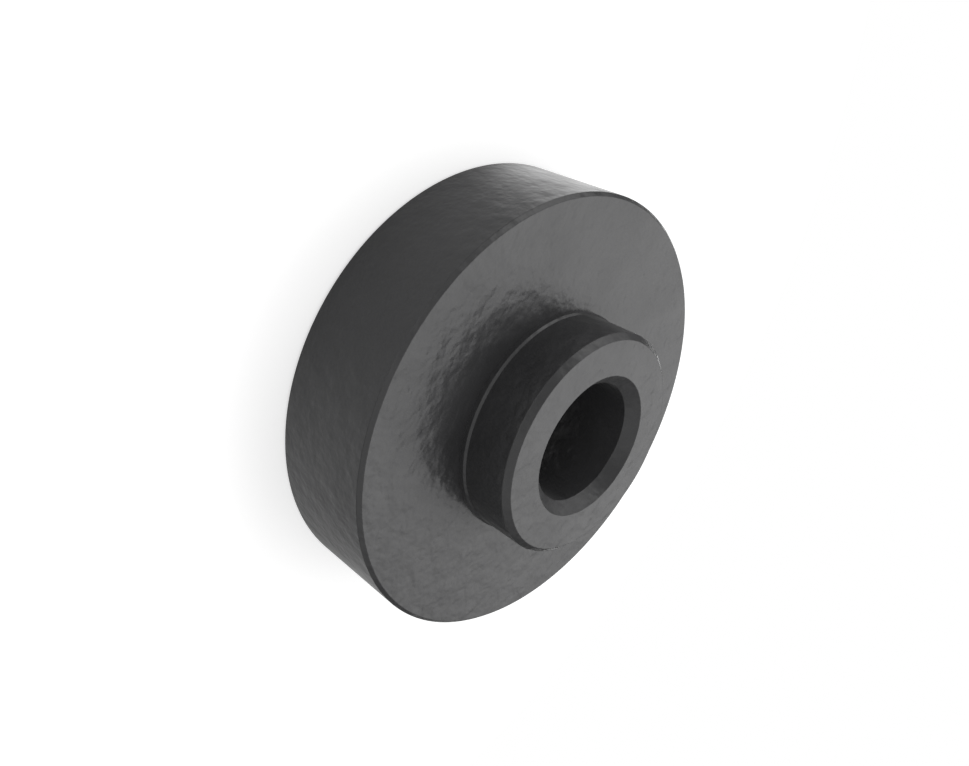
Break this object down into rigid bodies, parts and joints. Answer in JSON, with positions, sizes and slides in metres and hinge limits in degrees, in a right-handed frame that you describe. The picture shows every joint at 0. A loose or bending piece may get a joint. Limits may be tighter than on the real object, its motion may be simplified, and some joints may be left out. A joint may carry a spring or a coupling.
{
  "type": "flanged bushing",
  "caption": "Thick round rubber flange with a short hub on its front face and a bevelled bolt hole through both.",
  "frame": {"origin": "centre of the flange's back face", "axes": "+Z along the bore, from the flange's back face towards the hub's end"},
  "size_m": [0.04, 0.04, 0.0151],
  "materials": {
    "rubber": "satin, with a fine pebbled relief"
  },
  "bodies": {
    "root": {"bushing": "rubber"}
  },
  "joints": []
}
